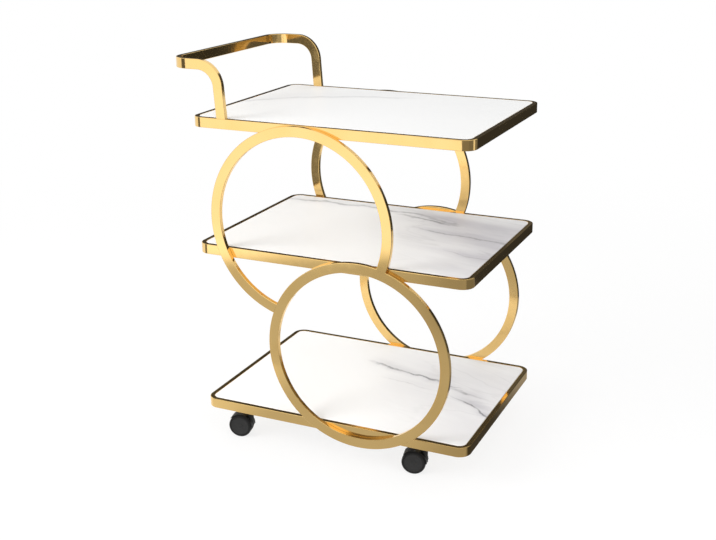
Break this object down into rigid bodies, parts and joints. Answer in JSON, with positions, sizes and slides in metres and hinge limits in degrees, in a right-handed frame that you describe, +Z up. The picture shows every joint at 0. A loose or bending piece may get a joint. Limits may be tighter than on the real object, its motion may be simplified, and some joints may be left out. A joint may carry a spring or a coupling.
{
  "type": "kitchen utility cart",
  "caption": "Rolling serving cart with marble-look shelves in gold tube frames, joined at the sides by overlapping rings, with a bent push handle and hooded twin-wheel castors.",
  "frame": {"origin": "on the floor under the middle of the outer box, so half-way along the cart with its handle and half-way across it", "axes": "+Z up; +X along the shelves, away from the push handle; -Y towards the front, the side seen in the picture"},
  "size_m": [0.655, 0.456, 0.834],
  "materials": {
    "gold_tube": "polished gold plating on steel tube and bar",
    "marble_panel": "opaque white with grey marble veins, polished",
    "soft_pad": "soft matt pad",
    "castor_hood": "satin black moulded nylon",
    "wheel": "black moulded nylon",
    "wheel_cap": "dark grey moulded cap",
    "plain_steel": "zinc plated"
  },
  "bodies": {
    "cart": {"bottom_frame": "gold_tube", "bottom_pads": "soft_pad", "bottom_panel": "marble_panel", "castor_beams": "gold_tube", "castor_nuts": "plain_steel", "front_left_castor_stem": "plain_steel", "front_lower_ring": "gold_tube", "front_right_castor_stem": "plain_steel", "front_upper_ring": "gold_tube", "handle": "gold_tube", "handle_plugs": "plain_steel", "handle_screws": "plain_steel", "middle_cross_bars": "gold_tube", "middle_frame": "gold_tube", "middle_pads": "soft_pad", "middle_panel": "marble_panel", "rear_left_castor_stem": "plain_steel", "rear_lower_ring": "gold_tube", "rear_right_castor_stem": "plain_steel", "rear_upper_ring": "gold_tube", "ring_inserts": "plain_steel", "ring_screws": "plain_steel", "top_cross_bars": "gold_tube", "top_frame": "gold_tube", "top_pads": "soft_pad", "top_panel": "marble_panel"},
    "front_left_swivel": {"front_left_castor_hood": "castor_hood", "front_left_castor_axle": "plain_steel"},
    "front_left_front_wheel": {"front_left_castor_front_wheel": "wheel", "front_left_castor_front_wheel_cap": "wheel_cap"},
    "front_left_rear_wheel": {"front_left_castor_rear_wheel": "wheel", "front_left_castor_rear_wheel_cap": "wheel_cap"},
    "rear_left_swivel": {"rear_left_castor_hood": "castor_hood", "rear_left_castor_axle": "plain_steel"},
    "rear_left_front_wheel": {"rear_left_castor_front_wheel": "wheel", "rear_left_castor_front_wheel_cap": "wheel_cap"},
    "rear_left_rear_wheel": {"rear_left_castor_rear_wheel": "wheel", "rear_left_castor_rear_wheel_cap": "wheel_cap"},
    "front_right_swivel": {"front_right_castor_hood": "castor_hood", "front_right_castor_axle": "plain_steel"},
    "front_right_front_wheel": {"front_right_castor_front_wheel": "wheel", "front_right_castor_front_wheel_cap": "wheel_cap"},
    "front_right_rear_wheel": {"front_right_castor_rear_wheel": "wheel", "front_right_castor_rear_wheel_cap": "wheel_cap"},
    "rear_right_swivel": {"rear_right_castor_hood": "castor_hood", "rear_right_castor_axle": "plain_steel"},
    "rear_right_front_wheel": {"rear_right_castor_front_wheel": "wheel", "rear_right_castor_front_wheel_cap": "wheel_cap"},
    "rear_right_rear_wheel": {"rear_right_castor_rear_wheel": "wheel", "rear_right_castor_rear_wheel_cap": "wheel_cap"}
  },
  "joints": [
    {"name": "front_left_swivel_turn", "type": "hinge", "parent": "cart", "child": "front_left_swivel", "pos_m": [-0.1895, -0.1865, 0.056], "axis": [0, 0, 1], "continuous": true},
    {"name": "front_left_front_wheel_spin", "type": "hinge", "parent": "front_left_swivel", "child": "front_left_front_wheel", "pos_m": [-0.20897, -0.19831, 0.0255], "axis": [-0.2079, 0.9781, 0], "continuous": true},
    {"name": "front_left_rear_wheel_spin", "type": "hinge", "parent": "front_left_swivel", "child": "front_left_rear_wheel", "pos_m": [-0.21209, -0.18363, 0.0255], "axis": [-0.2079, 0.9781, 0], "continuous": true},
    {"name": "rear_left_swivel_turn", "type": "hinge", "parent": "cart", "child": "rear_left_swivel", "pos_m": [-0.1895, 0.1865, 0.056], "axis": [0, 0, 1], "continuous": true},
    {"name": "rear_left_front_wheel_spin", "type": "hinge", "parent": "rear_left_swivel", "child": "rear_left_front_wheel", "pos_m": [-0.21209, 0.18363, 0.0255], "axis": [0.2079, 0.9781, 0], "continuous": true},
    {"name": "rear_left_rear_wheel_spin", "type": "hinge", "parent": "rear_left_swivel", "child": "rear_left_rear_wheel", "pos_m": [-0.20897, 0.19831, 0.0255], "axis": [0.2079, 0.9781, 0], "continuous": true},
    {"name": "front_right_swivel_turn", "type": "hinge", "parent": "cart", "child": "front_right_swivel", "pos_m": [0.2245, -0.1865, 0.056], "axis": [0, 0, 1], "continuous": true},
    {"name": "front_right_front_wheel_spin", "type": "hinge", "parent": "front_right_swivel", "child": "front_right_front_wheel", "pos_m": [0.20503, -0.19831, 0.0255], "axis": [-0.2079, 0.9781, 0], "continuous": true},
    {"name": "front_right_rear_wheel_spin", "type": "hinge", "parent": "front_right_swivel", "child": "front_right_rear_wheel", "pos_m": [0.20191, -0.18363, 0.0255], "axis": [-0.2079, 0.9781, 0], "continuous": true},
    {"name": "rear_right_swivel_turn", "type": "hinge", "parent": "cart", "child": "rear_right_swivel", "pos_m": [0.2245, 0.1865, 0.056], "axis": [0, 0, 1], "continuous": true},
    {"name": "rear_right_front_wheel_spin", "type": "hinge", "parent": "rear_right_swivel", "child": "rear_right_front_wheel", "pos_m": [0.20191, 0.18363, 0.0255], "axis": [0.2079, 0.9781, 0], "continuous": true},
    {"name": "rear_right_rear_wheel_spin", "type": "hinge", "parent": "rear_right_swivel", "child": "rear_right_rear_wheel", "pos_m": [0.20503, 0.19831, 0.0255], "axis": [0.2079, 0.9781, 0], "continuous": true}
  ]
}
